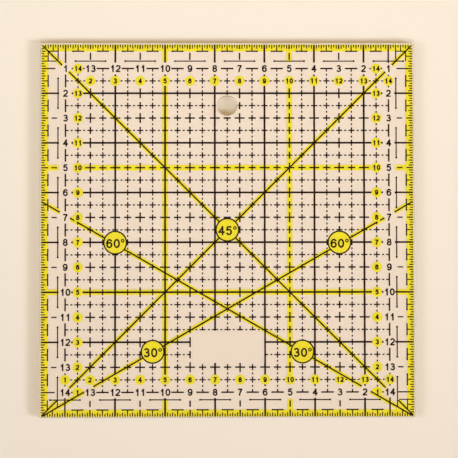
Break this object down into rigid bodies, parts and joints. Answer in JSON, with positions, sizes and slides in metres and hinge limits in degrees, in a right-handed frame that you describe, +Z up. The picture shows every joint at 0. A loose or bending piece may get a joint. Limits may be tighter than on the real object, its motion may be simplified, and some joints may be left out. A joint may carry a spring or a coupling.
{
  "type": "quilting ruler",
  "caption": "Square clear acrylic quilting ruler with a yellow and black printed centimetre grid, edge graduations, angle lines with round badges, and a hanging hole",
  "frame": {"origin": "middle of the plate in plan, on the plane that the printed underside rests on", "axes": "+Z is up, out of the clear face that the user looks down on; +Y points to the edge beside the hanging hole; +X points right as the numbers are read"},
  "size_m": [0.15, 0.15, 0.0031],
  "materials": {
    "clear_acrylic": "clear cast acrylic sheet, PMMA, with polished faces and sawn and polished edges",
    "yellow_ink": "lemon yellow screen-printed ink film on the underside",
    "black_ink": "black screen-printed ink film on the underside"
  },
  "bodies": {
    "root": {"acrylic_plate": "clear_acrylic", "yellow_edge_top": "yellow_ink", "yellow_edge_right": "yellow_ink", "yellow_edge_bottom": "yellow_ink", "yellow_edge_left": "yellow_ink", "yellow_five_cm_bands": "yellow_ink", "yellow_45_degree_bands": "yellow_ink", "yellow_30_degree_bands": "yellow_ink", "yellow_number_dots": "yellow_ink", "yellow_badge_discs": "yellow_ink", "millimetre_ticks": "black_ink", "half_cm_ticks": "black_ink", "cm_ticks": "black_ink", "three_mm_bars": "black_ink", "seven_mm_bars": "black_ink", "corner_brackets": "black_ink", "solid_cm_lines": "black_ink", "dashed_cm_lines": "black_ink", "dotted_half_cm_lines": "black_ink", "number_row_dashes": "black_ink", "link_dots": "black_ink", "lines_45_degree": "black_ink", "lines_30_degree": "black_ink", "badge_rings": "black_ink", "badge_numbers": "black_ink", "outer_numbers_top": "black_ink", "outer_numbers_right": "black_ink", "outer_numbers_bottom": "black_ink", "outer_numbers_left": "black_ink", "inner_numbers_top": "black_ink", "inner_numbers_right": "black_ink", "inner_numbers_bottom": "black_ink", "inner_numbers_left": "black_ink"}
  },
  "joints": []
}
